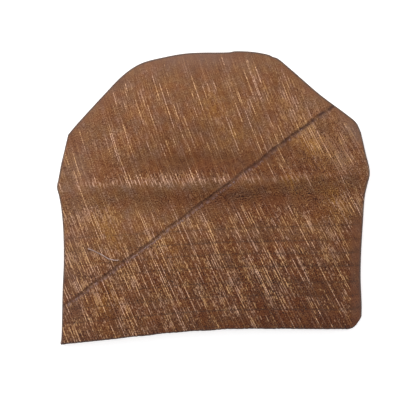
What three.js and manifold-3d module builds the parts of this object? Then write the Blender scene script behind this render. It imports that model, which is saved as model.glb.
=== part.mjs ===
// Aso oke cap, pressed flat and lying on its back: a tube of woven strip cloth, closed along its
// crown, with a stitched band and its mouth turned in.
// Millimetres. +X runs across the cap to its rolled side fold, +Y from the mouth to the crown and
// +Z up from the surface that the cap lies on. The origin is under the middle of the cap.

import * as THREE from 'three';
import { mergeVertices } from 'three/addons/utils/BufferGeometryUtils.js';
import Module from 'manifold-3d';

// Driving sizes
const clothWall = 1.3; // the cloth with its pressed backing
const facingWall = 1.0; // the doubled cloth inside the band
const layerGap = 0.3; // between one layer and the next
const hemDepth = 21; // cloth turned inside at the mouth
const facingStart = 3.5; // lower edge of the facing, measured up from the mouth
const bandFold = 5.0; // radius of the side folds beside the band
const crownFold = 2.6; // radius of the closed edge round the crown
const swellLeft = 78; // the front reaches its full height this far in from the left fold
const swellRight = 52; // and from the rolled right fold
const swellCrown = 74; // and from the crown edge
const bowPower = 1.4; // how much of a section's bow stays near its middle
const backSetBack = 1.5; // the back hem lies this much behind the front hem
const setBackFade = 20; // and is level with it this far up, and this far in from the folds

// The mouth's corner at the rolled fold turns up in a curve.
const corner = { rise: 11.4, across: 13, fade: 20 };

// The bias seam runs straight across the front, in a groove.
const seam = { x: 0, y: 2.6, turn: 36.75, depth: 0.55, floor: 0.35, lip: 1.1, proud: 0.6, steps: 110 };

// One row for each section from the mouth up. up is measured along the middle of the front,
// left and right are the section's ends on the side folds, bow lifts its middle towards the crown
// and height is how high the front stands there.
const sections = [
  { name: 'mouth', up: 0, leftX: -144.1, leftY: -139.0, rightX: 141.0, rightY: -124.3, bow: 6.4, height: 16.4 },
  { name: 'hem', up: 20, leftX: -143.5, leftY: -119.0, rightX: 141.2, rightY: -105.0, bow: 6.0, height: 17.9 },
  { name: 'lower band', up: 50, leftX: -142.9, leftY: -88.8, rightX: 140.2, rightY: -76.0, bow: 5.0, height: 18.5 },
  { name: 'mid band', up: 78, leftX: -141.8, leftY: -61.5, rightX: 140.9, rightY: -49.0, bow: 3.6, height: 18.6 },
  { name: 'upper band', up: 106, leftX: -142.2, leftY: -33.0, rightX: 142.7, rightY: -19.0, bow: 1.6, height: 18.4 },
  { name: 'ridge foot', up: 122, leftX: -143.8, leftY: -13.0, rightX: 144.2, rightY: 1.0, bow: 0.2, height: 19.0 },
  { name: 'ridge side', up: 132, leftX: -146.0, leftY: 0.5, rightX: 146.7, rightY: 12.5, bow: -0.8, height: 22.4 },
  { name: 'ridge', up: 140, leftX: -148.2, leftY: 9.6, rightX: 148.8, rightY: 21.5, bow: -1.2, height: 25.6 },
  { name: 'ridge back', up: 148, leftX: -146.8, leftY: 17.5, rightX: 148.3, rightY: 29.0, bow: -0.8, height: 24.4 },
  { name: 'valley', up: 160, leftX: -144.4, leftY: 31.0, rightX: 145.6, rightY: 39.5, bow: 0, height: 23.0 },
];

// The front's height further up, by the share of the way from the valley to the crown edge.
const crownHeights = [
  { share: 0, height: 23.0 },
  { share: 0.3, height: 24.2 },
  { share: 0.6, height: 23.6 },
  { share: 1, height: 21.0 },
];

// The closed edge of the crown, from the left shoulder over the top to the right shoulder.
const crownEdge = [
  { x: -137.8, y: 59.8 },
  { x: -130.0, y: 69.2 },
  { x: -103.2, y: 98.4 },
  { x: -86.0, y: 116.0 },
  { x: -69.4, y: 127.2 },
  { x: -46.6, y: 133.5 },
  { x: -23.8, y: 137.3 },
  { x: 6.0, y: 138.2 },
  { x: 30.0, y: 139.0 },
  { x: 46.0, y: 137.4 },
  { x: 60.0, y: 133.2 },
  { x: 72.0, y: 123.8 },
  { x: 101.3, y: 98.4 },
  { x: 128.0, y: 78.4 },
  { x: 136.8, y: 70.6 },
  { x: 140.6, y: 62.3 },
];

// Soft dents and swells of the front: middle, reach along and across, turn in degrees and height.
const dents = [
  { name: 'valley over the ridge', x: -8, y: 33, along: 52, across: 9, turn: 2, height: -2.2 },
  { name: 'sunk band under the ridge', x: 30, y: -2, along: 62, across: 8, turn: 2, height: -1.2 },
  { name: 'crown swell', x: -40, y: 84, along: 46, across: 30, turn: 20, height: 1.4 },
  { name: 'dip at the rolled corner', x: 96, y: -104, along: 46, across: 22, turn: 4, height: -1.8 },
  { name: 'pinch at the left of the ridge', x: -112, y: 2, along: 20, across: 7, turn: 4, height: -0.8 },
];

// Rows of stitching round the band, measured up from the hem, each drawn in a little.
const stitchRows = [19.5, 33, 46.5, 62.5, 75.5, 87.5, 100.5];
const stitchDraw = 0.35;

// Where the cloth is worked out
const foldSteps = [0, 0.134, 0.5, 1, 2.4]; // in a fold's radius: 30 degrees apart, and one beside it
const middleColumns = 16; // between the two folds, on the front and on the back
const crowding = 0.42; // how much closer they stand beside the crown's two round corners
const ridgeRows = [115, 124, 131, 136, 140, 144.5, 151, 160];
const crownShares = [0.2, 0.4, 0.58, 0.74, 0.86];
const edgeRows = [3.3, 1.6, 0.5, 0]; // distances from the crown edge

const facingEnd = 136; // the facing stops under the crest of the ridge
const hemFace = clothWall + layerGap + facingWall + layerGap; // from the outside in to the turned hem
const hemBack = hemFace + clothWall;
const mouthRound = hemBack / 2; // radius of the turn at the mouth
const innerRound = mouthRound - clothWall;

const mix = (a, b, share) => a + (b - a) * share;
const clamp = (value, low, high) => Math.min(Math.max(value, low), high);
const degrees = (value) => (value * Math.PI) / 180;

// A smooth curve through a column of a table: cubic between rows, with the slope at each row taken
// from its neighbours.
function through(table, key, column, at) {
  const last = table.length - 1;
  const slopeAt = (row) => {
    const before = table[Math.max(row - 1, 0)];
    const after = table[Math.min(row + 1, last)];
    return (after[column] - before[column]) / (after[key] - before[key]);
  };
  let row = 0;
  while (row < last - 1 && at > table[row + 1][key]) {
    row += 1;
  }
  const [low, high] = [table[row], table[row + 1]];
  const span = high[key] - low[key];
  const share = clamp((at - low[key]) / span, 0, 1);
  const rest = 1 - share;
  const fromValues = rest * rest * (1 + 2 * share) * low[column] + share * share * (1 + 2 * rest) * high[column];
  const fromSlopes = share * rest * span * (rest * slopeAt(row) - share * slopeAt(row + 1));
  return fromValues + fromSlopes;
}

// Rises from 0 at a fold to 1 where the cloth is fully swelled.
const swell = (distance, reach) => Math.sin((clamp(distance / reach, 0, 1) * Math.PI) / 2) ** 1.2;

// Quarter circle that carries the cloth round a fold.
function rimRise(distance, radius) {
  const inside = 1 - Math.min(distance / radius, 1);
  return radius * Math.sqrt(1 - inside * inside);
}

const valleyUp = sections[sections.length - 1].up;
const edgeFirst = crownEdge[0];
const edgeLast = crownEdge[crownEdge.length - 1];

// A section's point in plan, at a share of the way from its left fold to its right fold.
function sectionPoint(up, share) {
  const at = (column) => through(sections, 'up', column, up);
  const x = mix(at('leftX'), at('rightX'), share);
  const fromRight = at('rightX') - x;
  const turnedUp = corner.rise * Math.exp(-up / corner.fade) * Math.max(1 - fromRight / corner.across, 0) ** 2;
  const bowed = at('bow') * Math.sin(Math.PI * share) ** bowPower;
  return { x, y: mix(at('leftY'), at('rightY'), share) + bowed + turnedUp };
}

const edgeHeight = (x) => through(crownEdge, 'x', 'y', x);

// The crown edge's point in plan at the same share.
function edgePoint(share) {
  const x = mix(edgeFirst.x, edgeLast.x, share);
  return { x, y: edgeHeight(x) };
}

// Distance to the crown edge, square to it.
function toCrownEdge(x, y) {
  const near = clamp(x, edgeFirst.x + 1, edgeLast.x - 1);
  const slope = (edgeHeight(near + 1) - edgeHeight(near - 1)) / 2;
  return Math.max(edgeHeight(x) - y, 0) / Math.hypot(1, slope);
}

// How much the named dents and swells add at a point.
function dentRise(x, y) {
  let rise = 0;
  for (const dent of dents) {
    const turn = degrees(dent.turn);
    const along = ((x - dent.x) * Math.cos(turn) + (y - dent.y) * Math.sin(turn)) / dent.along;
    const across = ((y - dent.y) * Math.cos(turn) - (x - dent.x) * Math.sin(turn)) / dent.across;
    rise += dent.height * Math.exp(-along * along - across * across);
  }
  return rise;
}

// Every row of the grid: how far up it lies, or its place in the crown.
function clothRows() {
  const rows = [{ up: 0 }, { up: mouthRound }];
  let below = mouthRound;
  for (const line of stitchRows) {
    rows.push({ up: mix(below, line, 0.5), pillow: true });
    rows.push({ up: line, stitched: true });
    below = line;
  }
  rows.push({ up: mix(below, ridgeRows[0], 0.5), pillow: true });
  rows.push(...ridgeRows.map((up) => ({ up })));
  rows.push(...crownShares.map((share) => ({ up: valleyUp, crown: () => share })));
  rows.push(...edgeRows.map((distance) => ({ up: valleyUp, crown: (length) => 1 - distance / length })));
  return rows;
}

// The point of the cloth's outside on one row, at a share across, on the front or on the back.
function clothPoint(row, share, front) {
  const start = sectionPoint(row.up, share);
  let { x, y } = start;
  let [leftX, rightX] = [0, 1].map((end) => sectionPoint(row.up, end).x);
  let radius = bandFold;
  let height = through(sections, 'up', 'height', row.up);
  if (row.crown) {
    const end = edgePoint(share);
    const part = row.crown(end.y - start.y);
    x = mix(start.x, end.x, part);
    y = mix(start.y, end.y, part);
    leftX = mix(leftX, edgeFirst.x, part);
    rightX = mix(rightX, edgeLast.x, part);
    radius = mix(bandFold, crownFold, part);
    height = through(crownHeights, 'share', 'height', part);
  }
  const [fromLeft, fromRight, fromEdge] = [x - leftX, rightX - x, toCrownEdge(x, y)];
  const fromFold = Math.min(fromLeft, fromRight, fromEdge);
  const rim = rimRise(fromFold, radius);
  if (!front) {
    const inward = clamp(fromFold / setBackFade, 0, 1) * Math.max(1 - row.up / setBackFade, 0);
    return new THREE.Vector3(x, y + backSetBack * inward, radius - rim);
  }
  const swelled = swell(fromLeft, swellLeft) * swell(fromRight, swellRight) * swell(fromEdge, swellCrown);
  const drawn = row.stitched ? stitchDraw * clamp(fromFold / bandFold - 1, 0, 1) : 0;
  return new THREE.Vector3(x, y, radius + rim + (height - 2 * radius + dentRise(x, y)) * swelled - drawn);
}

// Shares across a row: close together round each fold, evenly spaced between.
function rowShares(row) {
  const [left, right] = [0, 1].map((end) => sectionPoint(row.up, end).x);
  const fold = (row.crown ? crownFold : bandFold) / (right - left);
  const shares = foldSteps.map((step) => step * fold);
  const lastShare = shares[shares.length - 1];
  for (let column = 1; column <= middleColumns; column += 1) {
    const even = column / (middleColumns + 1);
    const crowded = even + (crowding * Math.sin(4 * Math.PI * even)) / (4 * Math.PI);
    shares.push(mix(lastShare, 1 - lastShare, crowded));
  }
  return [...shares, ...foldSteps.map((step) => 1 - step * fold).reverse()];
}

const rows = clothRows();
const frontColumns = 2 * foldSteps.length + middleColumns;
const loopColumns = 2 * frontColumns - 2;
const mirrored = (column) => (loopColumns - column) % loopColumns;

// The outside of the cloth, row by row, each row once round from the left fold.
const outside = rows.map((row) => {
  const shares = rowShares(row);
  const front = shares.map((share) => clothPoint(row, share, true));
  const back = shares.slice(1, -1).map((share) => clothPoint(row, share, false));
  return [...front, ...back.reverse()];
});

// The two sides meet in the same points along the crown edge.
const crownRing = outside[rows.length - 1];
for (let column = frontColumns; column < loopColumns; column += 1) {
  crownRing[column].copy(crownRing[mirrored(column)]);
}

// The outward direction at each point. Over the crown edge the cloth goes on into the other side.
const outward = outside.map((ring, row) =>
  ring.map((point, column) => {
    const after = ring[(column + 1) % loopColumns];
    const before = ring[(column + loopColumns - 1) % loopColumns];
    const above = row + 1 < rows.length ? outside[row + 1][column] : outside[row - 1][mirrored(column)];
    const below = outside[Math.max(row - 1, 0)][column];
    const upward = new THREE.Vector3().subVectors(above, below);
    return new THREE.Vector3().subVectors(after, before).cross(upward).normalize();
  }),
);

// At the two shoulders the closed edge starts, and the direction is shared with its neighbours.
for (const column of [0, frontColumns - 1]) {
  const top = rows.length - 1;
  const beside = column === 0 ? 1 : frontColumns - 2;
  outward[top][column] = outward[top - 1][column].clone().add(outward[top][beside]).normalize();
}

for (let column = frontColumns; column < loopColumns; column += 1) {
  outward[rows.length - 1][column].copy(outward[rows.length - 1][mirrored(column)]);
}

// One ring of the cloth, sunk below the outside.
const sunkRing = (row, depth) =>
  outside[row].map((point, column) => point.clone().addScaledVector(outward[row][column], -depth));

// A ring near the mouth, between the first two rows.
function mouthRing(up, depth) {
  const [low, high] = [sunkRing(0, depth), sunkRing(1, depth)];
  return low.map((point, column) => point.clone().lerp(high[column], up / mouthRound));
}

// A ring at any height of the band.
function bandRing(up, depth) {
  const above = rows.findIndex((row) => row.up >= up);
  const [low, high] = [sunkRing(above - 1, depth), sunkRing(above, depth)];
  const share = (up - rows[above - 1].up) / (rows[above].up - rows[above - 1].up);
  return low.map((point, column) => point.clone().lerp(high[column], share));
}

// Joins each ring to the next one, and splits each four-sided patch along its shorter diagonal, or
// from the shoulder where the crown edge starts. An endless skin joins its last ring to its first.
function skinOver(rings, endless) {
  const vertices = rings.flat();
  const triangles = [];
  const lastRing = endless ? rings.length : rings.length - 1;
  const isShoulder = (vertex) => {
    const column = vertex % loopColumns;
    const onEdge = vertex < loopColumns || vertex >= vertices.length - loopColumns;
    return !endless && onEdge && (column === 0 || column === frontColumns - 1);
  };
  const addPatch = (a, b, c, d) => {
    const shorter = vertices[a].distanceTo(vertices[c]) <= vertices[b].distanceTo(vertices[d]);
    if (isShoulder(a) || isShoulder(c) || (shorter && !isShoulder(b) && !isShoulder(d))) {
      triangles.push([a, b, c], [a, c, d]);
    } else {
      triangles.push([a, b, d], [b, c, d]);
    }
  };
  for (let ring = 0; ring < lastRing; ring += 1) {
    const here = ring * loopColumns;
    const next = ((ring + 1) % rings.length) * loopColumns;
    for (let column = 0; column < loopColumns; column += 1) {
      const beside = (column + 1) % loopColumns;
      addPatch(here + column, next + column, next + beside, here + beside);
    }
  }
  return closedGeometry(vertices, triangles);
}

// A closed surface from points and triangles, without doubled points or flat triangles.
function closedGeometry(vertices, triangles) {
  const raw = new THREE.BufferGeometry();
  raw.setAttribute('position', new THREE.Float32BufferAttribute(vertices.flatMap((v) => [v.x, v.y, v.z]), 3));
  raw.setIndex(triangles.flat());
  const merged = mergeVertices(raw, 1e-4);
  const index = merged.index.array;
  const kept = [];
  for (let i = 0; i < index.length; i += 3) {
    const [a, b, c] = [index[i], index[i + 1], index[i + 2]];
    if (a !== b && b !== c && c !== a) {
      kept.push(a, b, c);
    }
  }
  merged.setIndex(kept);
  return merged;
}

// The turn at the mouth: a half circle from the outside in, or the smaller one inside it.
const turnRings = (radius, angles) =>
  angles.map((angle) => {
    const turned = degrees(angle);
    return mouthRing(mouthRound - radius * Math.sin(turned), mouthRound - radius * Math.cos(turned));
  });

// Outer cloth: down the outside from the crown, round the mouth, up the turned hem, back down it
// and up the inside again.
function clothShell() {
  const outer = rows.map((row, index) => sunkRing(index, 0)).slice(1).reverse();
  const hemUp = [bandRing(hemDepth, hemBack), bandRing(hemDepth, hemFace)];
  const inner = rows
    .map((row, index) => ({ row, index }))
    .filter(({ row, index }) => index > 1 && !row.pillow)
    .map(({ index }) => sunkRing(index, clothWall));
  return skinOver([
    ...outer,
    ...turnRings(mouthRound, [45, 90, 135, 180]),
    ...hemUp,
    ...turnRings(innerRound, [180, 90, 0]),
    ...inner,
  ], false);
}

// Facing: a second layer inside the band, held between the outer cloth and the turned hem.
function bandFacing() {
  const ups = [facingStart];
  for (const row of rows) {
    if (row.up > facingStart && row.up <= facingEnd && !row.pillow) {
      ups.push(row.up);
    }
  }
  const faceDepth = clothWall + layerGap;
  const face = ups.map((up) => bandRing(up, faceDepth)).reverse();
  const back = ups.map((up) => bandRing(up, faceDepth + facingWall));
  return skinOver([...face, ...back], true);
}

const seamSlope = Math.tan(degrees(seam.turn));
const aboveSeam = (point) => point.y - seam.y - (point.x - seam.x) * seamSlope;

// Where the seam crosses the front between two columns, on the flat faces of the outside.
function seamPoint(across) {
  const column = Math.min(Math.floor(across), frontColumns - 2);
  const share = across - column;
  const onRow = (row) => outside[row][column].clone().lerp(outside[row][column + 1], share);
  for (let row = 1; row < rows.length - 1; row += 1) {
    const [low, high] = [onRow(row), onRow(row + 1)];
    const [under, over] = [aboveSeam(low), aboveSeam(high)];
    if (under <= 0 && over > 0) {
      return low.lerp(high, under / (under - over));
    }
  }
  return null;
}

// The groove's cutter: a tapered bar laid along the seam, its floor sunk into the cloth.
function seamCutter() {
  const first = 2.4;
  const line = [];
  for (let step = 0; step <= seam.steps; step += 1) {
    const point = seamPoint(mix(first, frontColumns - 1 - first, step / seam.steps));
    if (point) {
      line.push(point);
    }
  }
  const side = new THREE.Vector3(-Math.sin(degrees(seam.turn)), Math.cos(degrees(seam.turn)), 0);
  const profile = [
    { across: -seam.floor, up: -seam.depth },
    { across: seam.floor, up: -seam.depth },
    { across: seam.lip, up: seam.proud },
    { across: -seam.lip, up: seam.proud },
  ];
  const vertices = line.flatMap((point) =>
    profile.map(({ across, up }) => point.clone().addScaledVector(side, across).setZ(point.z + up)),
  );
  const triangles = [];
  for (let step = 0; step + 1 < line.length; step += 1) {
    for (let edge = 0; edge < 4; edge += 1) {
      const [a, b] = [step * 4 + edge, step * 4 + ((edge + 1) % 4)];
      triangles.push([a, b + 4, a + 4], [a, b, b + 4]);
    }
  }
  const end = (line.length - 1) * 4;
  triangles.push([0, 2, 1], [0, 3, 2], [end, end + 1, end + 2], [end, end + 2, end + 3]);
  return closedGeometry(vertices, triangles);
}

const solids = await Module();
solids.setup();

// A closed geometry as a solid, and back.
const asSolid = (geometry) =>
  new solids.Manifold(
    new solids.Mesh({
      numProp: 3,
      vertProperties: new Float32Array(geometry.attributes.position.array),
      triVerts: new Uint32Array(geometry.index.array),
    }),
  );

function asGeometry(solid) {
  const mesh = solid.getMesh();
  const geometry = new THREE.BufferGeometry();
  geometry.setAttribute('position', new THREE.BufferAttribute(mesh.vertProperties, 3));
  geometry.setIndex(new THREE.BufferAttribute(mesh.triVerts, 1));
  return geometry;
}

const brownCloth = new THREE.MeshStandardMaterial({ color: '#7d5840', roughness: 0.78, metalness: 0.1 });
const plainCloth = new THREE.MeshStandardMaterial({ color: '#5c4030', roughness: 0.9, metalness: 0 });

const shell = new THREE.Mesh(asGeometry(asSolid(clothShell()).subtract(asSolid(seamCutter()))), brownCloth);
shell.name = 'cloth_shell';

const facing = new THREE.Mesh(bandFacing(), plainCloth);
facing.name = 'band_facing';

const cap = new THREE.Group();
cap.name = 'aso_oke_cap';
cap.add(shell, facing);
for (const piece of cap.children) {
  piece.geometry.computeVertexNormals();
}

export default cap;
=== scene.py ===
# Aso oke cap, pressed flat and lying on its back, dressed for the render.
# The tables below are in millimetres, in the frame's axes: +X across, +Y to the crown, +Z up.

import math

import bpy
import numpy as np
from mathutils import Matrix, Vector


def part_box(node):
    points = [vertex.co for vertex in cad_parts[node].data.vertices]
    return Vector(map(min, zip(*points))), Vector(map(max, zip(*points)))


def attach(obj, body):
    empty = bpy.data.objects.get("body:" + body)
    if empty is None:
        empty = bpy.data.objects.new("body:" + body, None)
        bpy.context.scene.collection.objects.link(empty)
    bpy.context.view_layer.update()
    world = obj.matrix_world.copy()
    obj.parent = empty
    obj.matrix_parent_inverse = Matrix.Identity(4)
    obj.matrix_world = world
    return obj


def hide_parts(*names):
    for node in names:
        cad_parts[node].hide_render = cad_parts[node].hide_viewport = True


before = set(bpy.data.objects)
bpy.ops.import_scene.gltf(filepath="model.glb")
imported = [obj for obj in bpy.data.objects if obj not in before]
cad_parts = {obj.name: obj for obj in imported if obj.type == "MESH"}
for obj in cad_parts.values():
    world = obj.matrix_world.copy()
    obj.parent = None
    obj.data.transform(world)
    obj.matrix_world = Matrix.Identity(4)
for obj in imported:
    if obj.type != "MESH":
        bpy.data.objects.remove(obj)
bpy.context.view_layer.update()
shell_low, shell_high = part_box("cloth_shell")

# One millimetre of the tables in the frame's metres: the cap is 297 mm across its ridge.
RIDGE_WIDTH = 297.0
MM = (shell_high.x - shell_low.x) / RIDGE_WIDTH


def table(columns, rows):
    """A short table as one array for each named column."""
    return dict(zip(columns, np.array(rows, float).T))


def ellipses(*rows):
    """A table of bells, each over an ellipse: its middle, how far it reaches along and across its own
    axis, the axis's turn in degrees, and the bell's height."""
    return table(("x", "y", "along", "across", "turn", "height"), rows)


# The cap's form

SECTIONS = table(
    ("up", "left_x", "left_y", "right_x", "right_y", "bow", "height"),
    [
        (0, -144.1, -139.0, 141.0, -124.3, 6.4, 16.4),
        (20, -143.5, -119.0, 141.2, -105.0, 6.0, 17.9),
        (50, -142.9, -88.8, 140.2, -76.0, 5.0, 18.5),
        (78, -141.8, -61.5, 140.9, -49.0, 3.6, 18.6),
        (106, -142.2, -33.0, 142.7, -19.0, 1.6, 18.4),
        (122, -143.8, -13.0, 144.2, 1.0, 0.2, 19.0),
        (132, -146.0, 0.5, 146.7, 12.5, -0.8, 22.4),
        (140, -148.2, 9.6, 148.8, 21.5, -1.2, 25.6),
        (148, -146.8, 17.5, 148.3, 29.0, -0.8, 24.4),
        (160, -144.4, 31.0, 145.6, 39.5, 0, 23.0),
    ],
)
CROWN_HEIGHTS = table(("part", "height"), [(0, 23.0), (0.3, 24.2), (0.6, 23.6), (1, 21.0)])
CROWN_EDGE = table(
    ("x", "y"),
    [
        (-137.8, 59.8), (-130.0, 69.2), (-103.2, 98.4), (-86.0, 116.0), (-69.4, 127.2), (-46.6, 133.5),
        (-23.8, 137.3), (6.0, 138.2), (30.0, 139.0), (46.0, 137.4), (60.0, 133.2), (72.0, 123.8),
        (101.3, 98.4), (128.0, 78.4), (136.8, 70.6), (140.6, 62.3),
    ],
)
CROWN_LEFT, CROWN_RIGHT = CROWN_EDGE["x"][[0, -1]]
# Soft dents and swells of the front
DENTS = ellipses(
    (-8, 33, 52, 9, 2, -2.2),
    (30, -2, 62, 8, 2, -1.2),
    (-40, 84, 46, 30, 20, 1.4),
    (96, -104, 46, 22, 4, -1.8),
    (-112, 2, 20, 7, 4, -0.8),
)
VALLEY_UP = 160.0
RIDGE_UP = 141.0
CROWN_LENGTH = 104.0
CROWN_TOP = VALLEY_UP + CROWN_LENGTH
BAND_FOLD = 5.0
CROWN_FOLD = 2.6
# How far in the front goes on swelling from the left fold, the right fold and the crown's edge
SWELL_REACHES = (78.0, 52.0, 74.0)
SWELL_POWER = 1.2
BOW_POWER = 1.4
CORNER_RISE, CORNER_ACROSS, CORNER_FADE = 11.4, 13.0, 20.0
BACK_SET_BACK, SET_BACK_FADE = 1.5, 20.0

# Layers of the band, from the outside in
CLOTH_WALL, FACING_WALL, LAYER_GAP = 1.3, 1.0, 0.3
FACE_DEPTH = CLOTH_WALL + LAYER_GAP
HEM_FACE = FACE_DEPTH + FACING_WALL + LAYER_GAP
HEM_BACK = HEM_FACE + CLOTH_WALL
MOUTH_ROUND = HEM_BACK / 2
INNER_ROUND = MOUTH_ROUND - CLOTH_WALL
HEM_DEPTH = 21.0
FACING_START, FACING_END = 3.5, 136.0

# Sewing
SEAM_Y = 2.6
SEAM_TURN = math.radians(36.75)
STITCH_ROWS = table(
    ("up", "pull"),
    [
        (4.2, 0.5), (19.5, 1.5), (33.0, 0.8), (46.5, 0.7),
        (62.5, 1.1), (75.5, 0.7), (87.5, 1.0), (100.5, 0.8),
    ],
)


def smooth_curve(at, knots, values):
    """The cubic through a table's column: its slope at each row is the chord of the two rows beside it."""
    before = np.r_[0, np.arange(len(knots) - 1)]
    after = np.r_[np.arange(1, len(knots)), len(knots) - 1]
    slopes = (values[after] - values[before]) / (knots[after] - knots[before])
    low = np.clip(np.searchsorted(knots, at, side="right") - 1, 0, len(knots) - 2)
    span = knots[low + 1] - knots[low]
    share = np.clip((at - knots[low]) / span, 0, 1)
    rest = 1 - share
    by_value = rest**2 * (1 + 2 * share) * values[low] + share**2 * (1 + 2 * rest) * values[low + 1]
    return by_value + share * rest * span * (rest * slopes[low] - share * slopes[low + 1])


def section(column, up):
    """One column of the sections, up the cloth."""
    return smooth_curve(up, SECTIONS["up"], SECTIONS[column])


def edge_height(x):
    """How far up the crown's closed edge lies at x."""
    return smooth_curve(x, CROWN_EDGE["x"], CROWN_EDGE["y"])


def edge_slope(x):
    """The slope of the crown's closed edge at x, from a millimetre before it to a millimetre after."""
    near = np.clip(x, CROWN_LEFT + 1, CROWN_RIGHT - 1)
    return (edge_height(near + 1) - edge_height(near - 1)) / 2


def mix(low, high, share):
    """The value at a share of the way from low to high."""
    return low + (high - low) * share


def smooth_step(value, low, high):
    """Rises from 0 at low to 1 at high as 3t^2 - 2t^3."""
    share = np.clip((value - low) / (high - low), 0, 1)
    return share * share * (3 - 2 * share)


def smooth_fall(value, low, high):
    """Falls from 1 at low to 0 at high: 1 less the smooth step."""
    return 1 - smooth_step(value, low, high)


def unit(vectors):
    """The vectors, each divided by its own length."""
    return vectors / np.linalg.norm(vectors, axis=-1, keepdims=True)


def bell(distance, reach):
    """1 at no distance, and e to the minus square of the distance over the reach."""
    return np.exp(-((distance / reach) ** 2))


def swell(distance, reach):
    """Quarter sine from 0 at a fold to 1 at reach, to a power that keeps it low beside the fold."""
    return np.sin(np.clip(distance / reach, 0, 1) * math.pi / 2) ** SWELL_POWER


def crown_part(climb):
    """0 up to the valley over the ridge, and then the share of the way to the crown's edge."""
    return np.clip((climb - VALLEY_UP) / CROWN_LENGTH, 0, 1)


def fold_ends(climb):
    """The x of the left and the right fold at climb."""
    part = crown_part(climb)
    up = np.minimum(climb, VALLEY_UP)
    return mix(section("left_x", up), CROWN_LEFT, part), mix(section("right_x", up), CROWN_RIGHT, part)


def plan_point(climb, share):
    """x and y at a share of the way across at climb. Up to the valley a section is a line between its
    ends, bowed by a power of a sine, with the mouth's right corner turned up as a square. Over the
    valley each column runs straight on to the crown's edge."""
    part = crown_part(climb)
    up = np.minimum(climb, VALLEY_UP)
    x = mix(section("left_x", up), section("right_x", up), share)
    from_right = section("right_x", up) - x
    turned = CORNER_RISE * np.exp(-up / CORNER_FADE) * np.maximum(1 - from_right / CORNER_ACROSS, 0) ** 2
    y = mix(section("left_y", up), section("right_y", up), share) + turned
    y = y + section("bow", up) * np.sin(np.pi * np.clip(share, 0, 1)) ** BOW_POWER
    edge_x = mix(CROWN_LEFT, CROWN_RIGHT, share)
    return mix(x, edge_x, part), mix(y, edge_height(edge_x), part)


def bells(places, x, y):
    """The sum of a table's rows, each a bell of its height over a turned ellipse."""
    turn = np.radians(places["turn"])
    away_x, away_y = x[..., None] - places["x"], y[..., None] - places["y"]
    along = (away_x * np.cos(turn) + away_y * np.sin(turn)) / places["along"]
    across = (away_y * np.cos(turn) - away_x * np.sin(turn)) / places["across"]
    return (places["height"] * np.exp(-(along**2) - across**2)).sum(-1)


def fold_distances(climb, x, y):
    """Distances in plan to the left fold, the right fold and the crown's edge."""
    left, right = fold_ends(climb)
    return x - left, right - x, np.maximum(edge_height(x) - y, 0) / np.hypot(1, edge_slope(x))


def cloth_form(climb, share, front):
    """The outside of the cloth without its fine relief. Its edge is a quarter circle round each
    fold. From there the front swells to its section's height as a product of quarter sines, one
    from each fold, and the back runs flat on the surface that the cap lies on."""
    part = crown_part(climb)
    x, y = plan_point(climb, share)
    distances = fold_distances(climb, x, y)
    from_fold = np.clip(np.min(distances, 0), 0, None)
    radius = mix(BAND_FOLD, CROWN_FOLD, part)
    inside = 1 - np.minimum(from_fold / radius, 1)
    rim = radius * np.sqrt(1 - inside**2)
    if not front:
        set_back = np.clip(from_fold / SET_BACK_FADE, 0, 1) * np.clip(1 - climb / SET_BACK_FADE, 0, 1)
        return np.stack([x, y + BACK_SET_BACK * set_back, radius - rim], -1)
    crown_height = smooth_curve(part, CROWN_HEIGHTS["part"], CROWN_HEIGHTS["height"])
    height = np.where(part > 0, crown_height, section("height", np.minimum(climb, VALLEY_UP)))
    swelled = math.prod(map(swell, distances, SWELL_REACHES))
    top = radius + rim + (height - 2 * radius + bells(DENTS, x, y)) * swelled
    return np.stack([x, y, top], -1)


SHARE_STEP = 1e-5
CLIMB_STEP = 2e-3


def outward(climb, share, front):
    """The form's outward direction: a short step across crossed with a short step up the cloth."""
    across = cloth_form(climb, np.clip(share + SHARE_STEP, 0, 1), front)
    across = across - cloth_form(climb, np.clip(share - SHARE_STEP, 0, 1), front)
    upward = cloth_form(np.clip(climb + CLIMB_STEP, 0, CROWN_TOP), share, front)
    upward = upward - cloth_form(np.clip(climb - CLIMB_STEP, 0, CROWN_TOP), share, front)
    return unit(np.cross(across, upward)) * (1 if front else -1)


# Fine relief of the outside

ONE_TURN = 2 * math.pi
GROOVE_DEPTH, GROOVE_WIDTH, PUCKER_PITCH = 0.55, 1.0, 3.7
UPPER_LIP, LOWER_LIP, LIP_AWAY = 0.25, 0.5, 1.7
ALLOWANCE_RISE, ALLOWANCE_WIDTH = 0.4, 11.0
FURROW_DEPTH, FURROW_WIDTH = 0.35, 1.0
BACK_GROOVE, BACK_FURROW = 0.4, 0.2
STITCH_PITCH = 3.2
PUCKER_RISE, HEM_RISE = 0.13, 0.25
QUILT_RISE, QUILT_START, QUILT_PITCH = 0.2, 26.0, 13.4
CREASE_WIDTH, CRUMPLE_UP = 2.6, 131.0
RELIEF_FADE = 7.0
WAVE_COUNT = 9
POINT_OUT, POINT_DOWN = 1.7, 0.7
EDGE_STEP_X, EDGE_NICK_X = 18.0, 57.0


def waves(u, v, seed):
    """A smooth uneven field between about -1 and 1: the sum of a few sine waves of about one unit's
    length in seeded directions and phases, over the square root of their number."""
    draw = np.random.default_rng(seed)
    turn = draw.uniform(0, ONE_TURN, WAVE_COUNT)
    pitch = draw.uniform(0.6, 1.5, WAVE_COUNT) * ONE_TURN
    phase = draw.uniform(0, ONE_TURN, WAVE_COUNT)
    along = np.multiply.outer(u, np.cos(turn)) + np.multiply.outer(v, np.sin(turn))
    return np.sin(along * pitch + phase).sum(-1) / math.sqrt(WAVE_COUNT)


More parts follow.
